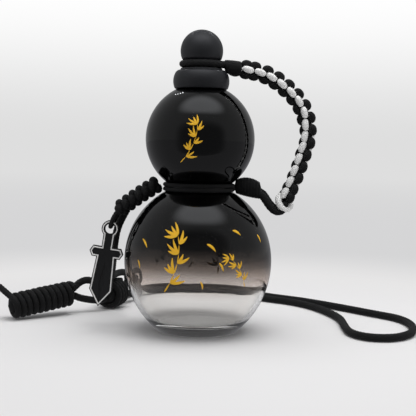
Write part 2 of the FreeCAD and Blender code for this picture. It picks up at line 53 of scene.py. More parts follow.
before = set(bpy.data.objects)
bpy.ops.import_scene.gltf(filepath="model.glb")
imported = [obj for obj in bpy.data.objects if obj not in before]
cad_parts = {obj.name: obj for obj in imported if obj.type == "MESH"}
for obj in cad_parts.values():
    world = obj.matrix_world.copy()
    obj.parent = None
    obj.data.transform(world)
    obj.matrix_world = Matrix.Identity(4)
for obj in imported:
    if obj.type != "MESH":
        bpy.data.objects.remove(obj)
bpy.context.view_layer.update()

MM = 0.001
RIGHT, ACROSS, UP = np.eye(3)

# Routes of the strap's cords, in millimetres
STRAP_RISER = [(-53.8, 4.6, 91), (-57.6, 9.2, 84.6), (-62.2, 13, 74.6), (-64.8, 21, 61.3),
               (-68, 43, 42), (-70.2, 58, 33.4), (-71.1, 77, 29), (-70.1, 93, 28.6),
               (-66, 108, 28.4), (-62.1, 122, 25.5), (-61.9, 123, 15.4), (-66.5, 108.8, 15.9),
               (-67.9, 104.6, 15.9), (-68.9, 101.4, 15.9)]
STRAP_LEG_UPPER = [(-103.6, 60.8, 18.8), (-101.2, 62.8, 20.7), (-97.2, 65.6, 24.8), (-92, 68, 26.8),
                   (-86.5, 69.6, 25.6), (-81.3, 71.8, 20.4), (-77.6, 77.6, 15.8), (-76.1, 81.6, 14.2)]
STRAP_LEG_LOWER = [(-102.4, 61.6, 15.2), (-100, 63.8, 13.6), (-96.6, 66, 11.8), (-91.6, 68.8, 10.4),
                   (-86.4, 69.8, 9.6), (-81.1, 71.4, 9.2), (-77.4, 78.2, 9.2), (-74.6, 86, 10.4)]
STRAP_MAIN = [(-65.9, 100.8, 10.5), (-64.9, 103.8, 10.3), (-61.2, 114.8, 8.9), (-54.5, 131, 4.6),
              (-44, 149, 3.1), (-30, 161, 3.1), (-8, 167.5, 3.1), (16, 166.5, 3.1),
              (37, 154, 3.1), (61.7, 133.2, 3.1), (83.8, 118.7, 3.1), (100.1, 95.8, 3.1),
              (109.7, 69, 3.1), (115.5, 40.9, 3.1), (113.4, 8, 3.1), (113.6, -16, 3.1),
              (123.2, -31, 3.1), (140, -33, 3.1), (154.5, -22, 3.1), (163.5, -4, 3.1),
              (168, 20, 3.1), (164.5, 46, 3.1), (148.6, 64.2, 3.1), (126.4, 90.7, 3.1),
              (106.8, 112.6, 3.1), (89, 129.6, 3.1), (62.7, 148, 3.1), (42, 171, 3.1),
              (18, 186, 3.1), (-8, 188.5, 3.1), (-34, 182, 3.1), (-53, 166, 3.1),
              (-64.6, 138.5, 3.6), (-68.2, 116.2, 8.8), (-70.8, 105.7, 10.3), (-71.8, 102.6, 10.5)]

# Routes of the short cords and the handle's middle line, in millimetres
HANDLE_LINE = [(30.2, 0, 196.5), (48.5, 0, 192.4), (62.6, 0, 183.6), (74, 0, 171.5), (79.6, 0, 157),
               (80.4, 0, 147), (77.6, 0, 135), (72.4, 0, 119), (64.6, 0, 100.2)]
TAIL_LINE = [(65, 0, 99.4), (64.2, 0, 96), (62.6, 0, 92.2), (57.8, 0, 91.5), (53.4, 0, 95.2),
             (50.5, 0, 99.4), (47.6, 0, 103.6), (43.8, 0, 105.4), (40.8, 0, 106.6)]
HANGER_LOOP = [(-57.9, -1.8, 92.4), (-59.5, -2.4, 90.8), (-63.7, -4.6, 84.4), (-65.9, -4.6, 77.3),
               (-65.9, 4.6, 77.3), (-62.1, 4.6, 84.4), (-58.7, 2.4, 90.8), (-57.1, 1.8, 92.4)]

# Stretches of the strap: route, how the cord lies and the knots on it
STRETCHES = {"strap_main": (STRAP_MAIN, "loose", ["strap_slider_knot"]),
             "strap_riser": (STRAP_RISER, "hanging", []),
             "strap_leg_upper": (STRAP_LEG_UPPER[::-1], "loose", ["strap_end_knot"]),
             "strap_leg_lower": (STRAP_LEG_LOWER[::-1], "loose", [])}

# Barrel knots of the strap: foot, direction, core's radius, turns, first angle in degrees and free tail; then
# their cord and its advance a turn, in millimetres
BARREL_KNOTS = {"strap_end_knot": ((-147, 27, 10.2), (46.6, 36, 6.9), 5.3, 10, 24, 20),
                "strap_slider_knot": ((-76, 79, 12.5), (6, 19, 0), 7.2, 4, 0, 4.8)}
WOUND_CORD, WOUND_PITCH = 4.8, 5.3

# Gilt sprigs (bulb, place across, height, lean in degrees, size) and the lower bulb's leaves, in millimetres
SPRIGS = [("lower", -24, 36, 58, 36), ("lower", 36, 40, 104, 22), ("upper", -14, 127, 48, 26)]
LEAVES = [(6, 71, -40, 8.5), (15, 58, -62, 7), (25, 80, -28, 8), (-45, 72, -48, 8), (-49, 57, -70, 6.5),
          (50, 76, -55, 7), (2, 45, -75, 6)]

# Braids: crowns in a row, their distance from the middle line, the core's diameter, and half the length,
# width and height of a crown, in millimetres
HANDLE_CROWNS, HANDLE_OFFSET, HANDLE_CORE = 14, 4.2, 6.2
WHITE_CROWN, BLACK_CROWN = (4.35, 2.5, 2.8), (4.5, 3.0, 3.1)
HANGER_CROWNS, HANGER_OFFSET, HANGER_CORE = 6, 3.6, 8.0
HANGER_CROWN = (3.25, 4.3, 3.3)
HANGER_START, HANGER_FOOT = (-30.4, 0, 110.6), (-60.3, 0, 89.7)

# White collar at the braid's end: centre, radius and cord in millimetres, and the way that its ring faces
COLLAR_CENTRE, COLLAR_RADIUS, COLLAR_CORD = (63.9, 0, 97.9), 5.6, 5.0
COLLAR_FACING = (0.53, -0.7, 0.47)

# Share of sheen on each yarn
SHEEN = {"black": 0.015, "white": 0.1}

# Rows of small lamps that only mirrors see, in metres: start and step across, start and bow behind,
# and half the width and depth of a lamp
LAMP_ROWS = {"left": (-0.201, -0.035, 0.347, 0.01, 0.009, 0.03),
             "right": (0.209, 0.042, 0.413, 0.013, 0.011, 0.032)}


def linear(code):
    """An sRGB hex colour as linear red, green, blue and alpha."""
    values = [int(code[place:place + 2], 16) / 255 for place in (1, 3, 5)]
    return tuple(v / 12.92 if v <= 0.04045 else ((v + 0.055) / 1.055) ** 2.4 for v in values) + (1.0,)


def length_of(name, description, millimetres):
    """A length property, given in millimetres and kept in metres."""
    return bpy.props.FloatProperty(name=name, description=description, default=millimetres * MM,
                                   min=0.0, unit="LENGTH", precision=5)


def angle_of(name, description, degrees):
    """An angle property, given in degrees and kept in radians."""
    return bpy.props.FloatProperty(name=name, description=description, default=math.radians(degrees),
                                   subtype="ANGLE")


def colour_of(name, description, code):
    """A colour property with its sRGB hex default."""
    return bpy.props.FloatVectorProperty(name=name, description=description, default=linear(code),
                                         size=4, min=0.0, max=1.0, subtype="COLOR")


class GourdGlass(bpy.types.PropertyGroup):
    lower_radius: length_of("Lower radius", "Widest radius of the lower bulb", 55.1)
    lower_height: length_of("Lower height", "Height of the lower bulb's widest ring", 53.3)
    lower_foot_arc: length_of("Lower foot arc", "Radius of the profile below that ring", 68.0)
    lower_top_arc: length_of("Lower top arc", "Radius of the profile above that ring", 59.5)
    upper_radius: length_of("Upper radius", "Widest radius of the upper bulb", 40.6)
    upper_height: length_of("Upper height", "Height of the upper bulb's widest ring", 144.0)
    upper_foot_arc: length_of("Upper foot arc", "Radius of the profile below that ring", 41.0)
    upper_top_arc: length_of("Upper top arc", "Radius of the profile above that ring", 41.5)
    waist_fillet: length_of("Waist fillet", "Radius of the waist's groove", 3.6)
    heel_fillet: length_of("Heel", "Rounding of the foot's outer edge", 7.0)
    inner_heel_fillet: length_of("Inner heel", "Rounding of the floor's edge inside", 14.0)
    wall: length_of("Wall", "Thickness of the glass", 3.0)
    base: length_of("Base", "Thickness of the foot", 7.0)
    neck_radius: length_of("Neck radius", "Outer radius of the neck", 12.5)
    neck_root: length_of("Neck root", "Rounding between shoulder and neck", 1.8)
    lacquer_foot: length_of("Lacquer foot", "Height where the sprayed lacquer has faded out", 32.0)
    lacquer_full: length_of("Lacquer full", "Height from which the lacquer is solid", 68.5)
    lacquer_colour: colour_of("Lacquer", "Colour of the solid lacquer", "#050506")
    haze_colour: colour_of("Haze", "Colour of the thin lacquer, half way down the fade", "#8d817a")
    gilding_colour: colour_of("Gilding", "Colour of the gilt sprigs", "#ffd02e")
    gilding_lift: length_of("Gilding lift", "Thickness of the gilt sprigs over the glass", 0.12)


class GourdCap(bpy.types.PropertyGroup):
    skirt_radius: length_of("Skirt radius", "Widest radius of the cap's lower ring", 20.9)
    skirt_side_arc: length_of("Skirt side", "Radius of that ring's bowed side", 13.0)
    skirt_top_corner: length_of("Skirt top corner", "Rounding of the ring's upper corner", 4.2)
    skirt_foot_fillet: length_of("Skirt foot", "Rounding of the ring's lower edge", 1.0)
    skirt_drop: length_of("Skirt drop", "Ring's middle below the glass lip", 5.6)
    flange_radius: length_of("Flange radius", "Radius of the flange below the cord", 15.5)
    groove_radius: length_of("Groove radius", "Radius inside the cord's groove", 11.2)
    ball_radius: length_of("Ball radius", "Radius of the knob", 15.8)
    ball_cut_radius: length_of("Ball foot", "Radius of the knob's underside", 14.4)
    edge_round: length_of("Edge round", "Rounding of the cap's small edges", 0.6)
    colour: colour_of("Cap", "Colour of the cap's plastic", "#1a1b1f")


class GourdCord(bpy.types.PropertyGroup):
    strap: length_of("Strap cord", "Diameter of the strap's cord", 6.0)
    wrap: length_of("Wrapping cord", "Diameter of the cord wound into the knots", 5.2)
    tail: length_of("Tail cord", "Diameter of the handle's tail cords", 5.8)
    waist: length_of("Waist cord", "Diameter of the cord in the waist", 3.1)
    loop: length_of("Cap loop", "Diameter of the cord in the cap's groove", 5.2)
    hanger: length_of("Hanger cord", "Diameter of the charm's thin cord", 3.5)
    thread: length_of("Thread", "Diameter of the wrapping thread", 0.8)
    stitch: length_of("Stitch", "Length of one stitch of the braided sheath", 3.2)
    # Crown colours are the yarns' own; the valley colours are painted shade in the gaps between stitches
    black: colour_of("Black yarn", "Colour of the black cord's crowns", "#0e0e0f")
    black_valley: colour_of("Black valley", "Colour between the black cord's stitches", "#040404")
    white: colour_of("White yarn", "Colour of the white cord's crowns", "#fbfbfa")
    white_valley: colour_of("White valley", "Colour between the white cord's stitches", "#d6d5d3")


class GourdCharm(bpy.types.PropertyGroup):
    edge_round: length_of("Edge round", "Rounding of the moulded edges", 0.4)
    colour: colour_of("Charm", "Colour of the charm's body", "#111113")
    edging_colour: colour_of("Edging", "Colour of the raised edging", "#e9e8e6")


class GourdStage(bpy.types.PropertyGroup):
    distance: length_of("Camera distance", "Camera in front of the bottle's axis", 700.0)
    height: length_of("Camera height", "Camera above the floor", 140.0)
    lens: bpy.props.FloatProperty(name="Lens", description="Focal length in millimetres", default=81.0,
                                  min=1.0)
    pitch: angle_of("Pitch", "How far the camera looks down", 3.87)
    yaw: angle_of("Yaw", "How far the camera looks to the right", 0.559)
    roll: angle_of("Roll", "How far the camera leans to the left", 1.14)
    floor: colour_of("Floor", "Colour of the floor", "#e9e8e8")
    distance_tone: colour_of("Distance", "Colour of the floor a little way behind", "#d5d5d6")
    horizon_tone: colour_of("Horizon", "Colour of the floor and the air far behind", "#dedede")
    sky_tone: colour_of("Sky", "Colour of the background above", "#ffffff")


def add_node(tree, kind, inputs=None, **settings):
    """Add a shader node with its settings; its inputs take values, sockets or other nodes' first outputs."""
    made = tree.nodes.new("ShaderNode" + kind)
    for key, value in settings.items():
        setattr(made, key, value)
    for key, value in (inputs or {}).items():
        if isinstance(value, bpy.types.Node):
            value = value.outputs[0]
        if isinstance(value, bpy.types.NodeSocket):
            tree.links.new(value, made.inputs[key])
        else:
            made.inputs[key].default_value = value
    return made


def new_material(name):
    """An empty material and its node tree."""
    material = bpy.data.materials.new(name)
    material.use_nodes = True
    material.node_tree.nodes.clear()
    return material, material.node_tree


def noise(tree, place, size, detail=2.0):
    """Noise with grains of about a size."""
    return add_node(tree, "TexNoise", {"Vector": place, "Scale": 1 / size, "Detail": detail})


def mixed(tree, share, first, second):
    """The colour between two others, at a share."""
    # A colour mix has several sockets of one name, so they go by number
    return add_node(tree, "Mix", {0: share, 6: first, 7: second}, data_type="RGBA").outputs[2]


def bumped(tree, height, strength, depth):
    """A surface that seems raised by a height, up to a depth."""
    return add_node(tree, "Bump", {"Height": height, "Strength": strength, "Distance": depth})


def close_material(material, inputs):
    """End a material in one Principled shader."""
    tree = material.node_tree
    add_node(tree, "OutputMaterial", {"Surface": add_node(tree, "BsdfPrincipled", inputs)})
    return material


def lacquered_glass(glass):
    """Blown soda-lime glass with black lacquer sprayed on from the top."""
    # The lacquer is solid and glossy above, thins to a warm haze and leaves the foot clear. Over the lowest
    # 14 mm the glass is darkened towards the floor: painted shade where the bottle stands
    material, tree = new_material("lacquered_soda_lime_glass")
    place = add_node(tree, "TexCoord").outputs["Object"]
    height = add_node(tree, "SeparateXYZ", {"Vector": place}).outputs["Z"]
    drift = noise(tree, place, 40 * MM)
    spray = add_node(tree, "Math", {0: drift, 1: 3 * MM, 2: height}, operation="MULTIPLY_ADD")
    cover = add_node(tree, "MapRange", {"Value": spray, "From Min": glass.lacquer_foot,
                                        "From Max": glass.lacquer_full})
    ramp = add_node(tree, "ValToRGB", {"Fac": cover})
    haze, solid = np.array(glass.haze_colour[:]), np.array(glass.lacquer_colour[:])
    stops = [(0.0, np.ones(4)), (0.26, haze * 2.1), (0.42, haze * 1.08), (0.58, haze * 0.27),
             (0.74, haze * 0.07), (1.0, solid * 0.2)]
    elements = ramp.color_ramp.elements
    while len(elements) < len(stops):
        elements.new(0.5)
    for element, (position, colour) in zip(elements, stops):
        element.position = position
        element.color = (*np.clip(colour[:3], 0, 1), 1.0)
    # Painted shade: the glass's colour darkens towards the floor
    foot = add_node(tree, "MapRange", {"Value": height, "From Min": 2 * MM, "From Max": 14 * MM,
                                       "To Min": 0.8, "To Max": 0.985}, interpolation_type="SMOOTHSTEP")
    body = add_node(tree, "VectorMath", {0: ramp, "Scale": foot}, operation="SCALE")
    return close_material(material, {"Base Color": body, "Roughness": 0.02, "IOR": 1.5,
                                     "Transmission Weight": 1.0})


def clear_glass():
    """The same glass where nothing was sprayed on it, inside and at the lip."""
    # A near-neutral body and a slightly uneven blown surface bend what is seen through the foot
    material, tree = new_material("clear_soda_lime_glass")
    place = add_node(tree, "TexCoord").outputs["Object"]
    ripple = noise(tree, place, 22 * MM)
    bump = bumped(tree, ripple, strength=0.25, depth=0.4 * MM)
    return close_material(material, {"Base Color": linear("#f3f1ee"), "Roughness": 0.0, "IOR": 1.5,
                                     "Transmission Weight": 1.0, "Normal": bump})


def gilding(glass):
    """Gilt transfer print: thin bright gold with a brushed, slightly broken face."""
    # Grains of about 0.6 mm change its roughness, so that it glints unevenly
    material, tree = new_material("gilt_transfer")
    place = add_node(tree, "TexCoord").outputs["Object"]
    grain = noise(tree, place, 0.6 * MM, detail=3.0)
    rough = add_node(tree, "MapRange", {"Value": grain, "To Min": 0.32, "To Max": 0.55})
    tone = mixed(tree, grain, linear("#eca818"), glass.gilding_colour[:])
    return close_material(material, {"Base Color": tone, "Metallic": 0.1, "Roughness": rough})


def satin_plastic(name, colour, grit):
    """Moulded ABS from a blasted mould: an even satin skin."""
    # The blasted grain softens highlights, and handling polishes it a little in patches
    material, tree = new_material(name)
    place = add_node(tree, "TexCoord").outputs["Object"]
    grain = noise(tree, place, grit, detail=4.0)
    patch = noise(tree, place, 18 * MM)
    rough = add_node(tree, "MapRange", {"Value": patch, "To Min": 0.36, "To Max": 0.5})
    bump = bumped(tree, grain, strength=0.12, depth=0.1 * MM)
    return close_material(material, {"Base Color": colour, "Roughness": rough, "IOR": 1.53, "Normal": bump})


def soft_vinyl(name, colour):
    """Soft PVC, moulded: matte and faintly mottled."""
    # A bloom of about 3 mm patches greys it unevenly, over a fine leathery grain
    material, tree = new_material(name)
    place = add_node(tree, "TexCoord").outputs["Object"]
    bloom = noise(tree, place, 3 * MM)
    grain = noise(tree, place, 0.5 * MM, detail=3.0)
    dull, bright = [(*np.clip(share * np.array(colour[:3]), 0, 1), 1.0) for share in (0.8, 1.15)]
    tone = mixed(tree, bloom, dull, bright)
    bump = bumped(tree, grain, strength=0.2, depth=0.12 * MM)
    return close_material(material, {"Base Color": tone, "Roughness": 0.62, "IOR": 1.52, "Normal": bump})


def braided_yarn(name, crown, valley, sheen):
    """Braided polyester cord: matte stitches, with painted shade in the gaps between them."""
    # The mesh's weave value paints shade into the gaps between stitches, darker than the crowns; 0.35 mm
    # fibres, drawn coarser than real, roughen it and vary its tone at random
    material, tree = new_material(name)
    place = add_node(tree, "TexCoord").outputs["Object"]
    weave = add_node(tree, "Attribute", attribute_name="weave").outputs["Fac"]
    fibre = noise(tree, place, 0.35 * MM, detail=3.0)
    fibre_and_painted_shade = add_node(tree, "Math", {0: fibre, 1: 0.5, 2: weave}, operation="MULTIPLY_ADD", use_clamp=True)
    soft = add_node(tree, "MapRange", {"Value": fibre_and_painted_shade, "From Min": 0.1, "From Max": 1.0})
    # Painted shade: the valley colour where the weave is low, the crown colour on top
    tone = mixed(tree, soft, valley[:], crown[:])
    bump = bumped(tree, fibre, strength=0.28, depth=0.15 * MM)
    return close_material(material, {"Base Color": tone, "Roughness": 0.78, "Sheen Weight": sheen,
                                     "Sheen Roughness": 0.5, "Normal": bump})


def yarn(scene, shade):
    """The black or the white cord's material, made the first time it is asked for."""
    cord, name = scene.gourd_cord, "braided_%s_polyester" % shade
    return bpy.data.materials.get(name) or braided_yarn(
        name, getattr(cord, shade), getattr(cord, shade + "_valley"), SHEEN[shade])


def smooth(share):
    """A share from 0 to 1 eased at both ends: three squares less two cubes."""
    share = np.clip(share, 0, 1)
    return share * share * (3 - 2 * share)


def unit(vectors):
    """Vectors at length 1."""
    return vectors / np.linalg.norm(vectors, axis=-1, keepdims=True)


def travelled(path):
    """Distance along a path at each of its points."""
    return np.concatenate([[0.0], np.cumsum(np.linalg.norm(np.diff(path, axis=0), axis=1))])


def evenly(path, step):
    """The same line with its points about a step apart."""
    distance = travelled(path)
    stations = np.linspace(0, distance[-1], max(4, int(round(distance[-1] / step)) + 1))
    return np.stack([np.interp(stations, distance, path[:, axis]) for axis in range(3)], axis=1)


def spline_line(route, step):
    """Points read from the NURBS spline that has the route as its control points."""
    curve = bpy.data.curves.new("route", "CURVE")
    curve.dimensions = "3D"
    curve.resolution_u = 24
    spline = curve.splines.new("NURBS")
    spline.points.add(len(route) - 1)
    spline.points.foreach_set("co", np.insert(np.array(route) * MM, 3, 1.0, axis=1).ravel())
    spline.order_u = 3
    spline.use_endpoint_u = True
    carrier = bpy.data.objects.new("route", curve)
    mesh = bpy.data.meshes.new_from_object(carrier)
    points = np.empty(len(mesh.vertices) * 3)
    mesh.vertices.foreach_get("co", points)
    bpy.data.meshes.remove(mesh)
    bpy.data.curves.remove(curve)
    return evenly(points.reshape(-1, 3), step)


def line_through(route, step):
    """Natural cubic spline through points, by chord length: its bends at the points solve a banded system."""
    points = np.array(route) * MM
    knots = travelled(points)
    gaps = np.diff(knots)
    slopes = np.diff(points, axis=0) / gaps[:, None]
    system = np.eye(len(points))
    inner = np.arange(1, len(points) - 1)
    system[inner, inner - 1] = gaps[:-1]
    system[inner, inner] = 2 * (gaps[:-1] + gaps[1:])
    system[inner, inner + 1] = gaps[1:]
    wanted = np.zeros_like(points)
    wanted[1:-1] = 6 * np.diff(slopes, axis=0)
    bends = np.linalg.solve(system, wanted)
    at = np.linspace(0, knots[-1], 400)
    run = np.clip(np.searchsorted(knots, at) - 1, 0, len(gaps) - 1)
    left = ((knots[run + 1] - at) / gaps[run])[:, None]
    right = 1 - left
    pull = (gaps[run] ** 2)[:, None] / 6
    line = left * points[run] + right * points[run + 1]
    line += pull * ((left ** 3 - left) * bends[run] + (right ** 3 - right) * bends[run + 1])
    return evenly(line, step)


def frames(path, reference):
    """Tangent, side and rise along a path: side is square to the tangent and a reference direction."""
    tangent = unit(np.gradient(path, axis=0))
    side = unit(np.cross(tangent, reference))
    return tangent, side, np.cross(tangent, side)


def ring_angles(columns):
    """Angles evenly round a full turn."""
    return np.linspace(0, 2 * np.pi, columns, endpoint=False)


def braid(angle, distance, stitch, count):
    """Height of a braided sheath, 0 to 1: half of cos(turns along it) less cos(count times round it)."""
    return np.abs(np.cos(2 * np.pi * distance / stitch) - np.cos(count * angle)) / 2


def ring_quads(rows, columns):
    """Numbers of a grid's points in rows that close round, those beside them, and the quads between rows."""
    index = np.arange(rows * columns).reshape(rows, columns)
    beside = np.roll(index, -1, axis=1)
    return index, beside, np.stack([index[:-1], beside[:-1], beside[1:], index[1:]], axis=-1).reshape(-1, 4)


def skin(points, start, end, weave=None):
    """Closed skin over a grid of rows along and columns round a piece, with a fan to a point at each end."""
    columns = points.shape[1]
    index, beside, quads = ring_quads(*points.shape[:2])
    first = np.stack([np.full(columns, index.size), beside[0], index[0]], axis=-1)
    last = np.stack([np.full(columns, index.size + 1), index[-1], beside[-1]], axis=-1)
    every = np.concatenate([points.reshape(-1, 3), [start, end]])
    height = np.ones(len(every)) if weave is None else np.concatenate([weave.ravel(), [1.0, 1.0]])
    return {"points": every, "quads": quads, "fans": np.concatenate([first, last]), "weave": height}


def make_piece(name, skins, materials, inside_from=None):
    """One smooth mesh object from several skins; quads from a given number on take the second material."""
    counts = np.cumsum([0] + [len(s["points"]) for s in skins])
    quads = np.concatenate([s["quads"] + shift for s, shift in zip(skins, counts)])
    fans = np.concatenate([s["fans"] + shift for s, shift in zip(skins, counts)])
    mesh = bpy.data.meshes.new(name)
    points = np.concatenate([s["points"] for s in skins])
    mesh.from_pydata(points.tolist(), [], quads.tolist() + fans.tolist())
    # The weave height goes onto the points; the yarn's material paints shade where it is low
    heights = mesh.attributes.new("weave", "FLOAT", "POINT")
    heights.data.foreach_set("value", np.concatenate([s["weave"] for s in skins]).astype(np.float32))
    for material in materials:
        mesh.materials.append(material)
    if inside_from is not None:
        slots = np.zeros(len(mesh.polygons), np.int32)
        slots[inside_from:] = 1
        slots[len(quads):len(quads) + len(fans) // 2] = 0
        mesh.polygons.foreach_set("material_index", slots)
    mesh.shade_smooth()
    piece = bpy.data.objects.new(name, mesh)
    bpy.context.scene.collection.objects.link(piece)
    return piece


def settle(piece, body, slot, *nodes):
    """Let a piece ride on its body and hide the solids that it stands for."""
    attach(piece, body)
    if nodes:
        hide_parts(*nodes)
    return piece


def dress(name, skins, material, body, slot, *nodes):
    """A piece of one material, settled on its body."""
    return settle(make_piece(name, skins, [material]), body, slot, *nodes)


def cord_skin(path, diameter, reference, stitch, sides=40, relief=0.1):
    """Braided cord: a circle carried along a path, lower between its stitches, with rounded ends."""
    distance = travelled(path)
    _, side, rise = frames(path, reference)
    angle = ring_angles(sides)
    count = max(4, int(round(np.pi * diameter / stitch * 1.4)))
    height = braid(angle[None, :], distance[:, None], stitch, count)
    from_end = np.clip(np.minimum(distance, distance[-1] - distance) / (0.3 * diameter), 0, 1)
    rounding = np.maximum(np.sqrt(1 - (1 - from_end) ** 2), 0.1)
    reach = diameter / 2 * (1 - relief * (1 - height)) * rounding[:, None]
    around = np.cos(angle)[None, :, None] * side[:, None] + np.sin(angle)[None, :, None] * rise[:, None]
    return skin(path[:, None] + reach[..., None] * around, path[0], path[-1], height)


def lathe(profile, columns):
    """Turned body: a profile of (radius, height) points from axis to axis, carried once round Z."""
    angle = ring_angles(columns)
    ring = np.stack([np.cos(angle), np.sin(angle), np.zeros(columns)], axis=-1)
    inner = profile[1:-1]
    points = inner[:, None, :1] * ring + inner[:, None, 1:] * UP
    return skin(points, profile[0, 1] * UP, profile[-1, 1] * UP)


def arc(centre, start, end, count):
    """The shorter arc about a centre from the direction of start to that of end, at start's distance."""
    first = math.atan2(start[1] - centre[1], start[0] - centre[0])
    last = math.atan2(end[1] - centre[1], end[0] - centre[0])
    sweep = (last - first + math.pi) % (2 * math.pi) - math.pi
    angle = first + sweep * np.linspace(0, 1, count)
    radius = math.hypot(start[0] - centre[0], start[1] - centre[1])
    return np.array(centre) + radius * np.stack([np.cos(angle), np.sin(angle)], axis=1)


def towards(centre, target, distance):
    """The point at a distance from the centre towards the target."""
    return centre + unit(target - centre) * distance


def outer_meeting(first, first_reach, second, second_reach):
    """The outer point at given distances from two centres in the profile's plane."""
    axis = second - first
    span = np.linalg.norm(axis)
    axis = axis / span
    forward = (first_reach ** 2 - second_reach ** 2 + span ** 2) / (2 * span)
    return first + axis * forward + np.array((axis[1], -axis[0])) * math.sqrt(first_reach ** 2 - forward ** 2)


def shoulder_height(glass, radius, clear):
    """Height of the surface that stands clear of the upper bulb's shoulder, at a radius."""
    centre = glass.upper_radius - glass.upper_top_arc
    return glass.upper_height + math.sqrt((glass.upper_top_arc + clear) ** 2 - (radius - centre) ** 2)


def glass_face(glass, depth, floor, corner):
    """One face of the glass, at a depth inside the outer one: seven tangent arcs from floor to neck."""
    foot = np.array((glass.lower_radius - glass.lower_foot_arc, glass.lower_height))
    belly = np.array((glass.lower_radius - glass.lower_top_arc, glass.lower_height))
    chest = np.array((glass.upper_radius - glass.upper_foot_arc, glass.upper_height))
    shoulder = np.array((glass.upper_radius - glass.upper_top_arc, glass.upper_height))
    waist = outer_meeting(belly, glass.lower_top_arc + glass.waist_fillet, chest,
                          glass.upper_foot_arc + glass.waist_fillet)
    reach = glass.lower_foot_arc - depth
    heel_out = math.sqrt((reach - corner) ** 2 - (floor + corner - foot[1]) ** 2)
    heel = np.array((foot[0] + heel_out, floor + corner))
    root_x = glass.neck_radius + glass.neck_root
    root = np.array((root_x, shoulder_height(glass, root_x, glass.neck_root)))
    heel_end = towards(foot, heel, reach)
    widest = np.array((glass.lower_radius - depth, glass.lower_height))
    waist_low = towards(belly, waist, glass.lower_top_arc - depth)
    waist_high = towards(chest, waist, glass.upper_foot_arc - depth)
    upper = np.array((glass.upper_radius - depth, glass.upper_height))
    root_start = towards(shoulder, root, glass.upper_top_arc - depth)
    root_end = np.array((glass.neck_radius - depth, root[1]))
    runs = [arc(heel, (heel[0], floor), heel_end, 10), arc(foot, heel_end, widest, 24),
            arc(belly, widest, waist_low, 24), arc(waist, waist_low, waist_high, 14),
            arc(chest, waist_high, upper, 20), arc(shoulder, upper, root_start, 20),
            arc(root, root_start, root_end, 6)]
    return np.concatenate([runs[0]] + [run[1:] for run in runs[1:]])


def sprig_strokes(u, v, direction, size):
    """A bamboo sprig as strokes (u, v, direction, length, half width, bow): a jointed stem with fans of
    leaves, in shares of the sprig's size."""
    strokes = []
    for joint in range(6):
        run = size * (0.22 - 0.012 * joint)
        strokes.append((u, v, direction, run, 0.015 * size * (1 - 0.08 * joint), 0.0))
        u += 1.04 * run * math.cos(direction)
        v += 1.04 * run * math.sin(direction)
        direction += math.radians(8)
        side = 1 if joint % 2 else -1
        for leaf, swing in enumerate((0.42, 0.95, 1.4)[:2 + joint % 2]):
            reach = size * (0.27 + 0.05 * math.sin(2.3 * joint + 1.7 * leaf))
            strokes.append((u, v, direction + side * swing, reach, 0.03 * size, 0.07 * side))
    return strokes + [(u, v, direction, 0.26 * size, 0.028 * size, -0.06)]


def gilt_skins(glass, profile, strokes):
    """Strokes laid on the glass: a leaf-shaped strip follows a bowed line in the surface's own measures."""
    stations, columns = 16, 8
    share = np.linspace(0.02, 0.98, stations)
    angle = ring_angles(columns)
    u, v, direction, length, half, bow = np.array(strokes).T[:, :, None]
    along = share * length
    aside = bow * length * 4 * share * (1 - share)
    middle_u = u + along * np.cos(direction) - aside * np.sin(direction)
    middle_v = v + along * np.sin(direction) + aside * np.cos(direction)
    wide = half * np.sin(np.pi * share ** 0.75) ** 0.7
    across = wide[..., None] * np.cos(angle)
    grid_u = middle_u[..., None] - across * np.sin(direction)[..., None]
    grid_v = middle_v[..., None] + across * np.cos(direction)[..., None]
    radius = np.interp(grid_v, profile[:, 1], profile[:, 0])
    slope = np.interp(grid_v, profile[:, 1], np.gradient(profile[:, 0], profile[:, 1]))
    lift = glass.gilding_lift * (0.75 + 0.5 * np.sin(angle))
    level = 1 / np.sqrt(1 + slope ** 2)
    bearing = grid_u / radius
    outward = radius + lift * level
    points = np.stack([outward * np.sin(bearing), -outward * np.cos(bearing), grid_v - lift * level * slope],
                      axis=-1)
    ends = points.mean(axis=2)
    return [skin(grid[:, ::-1], middle[0], middle[-1]) for grid, middle in zip(points, ends)]


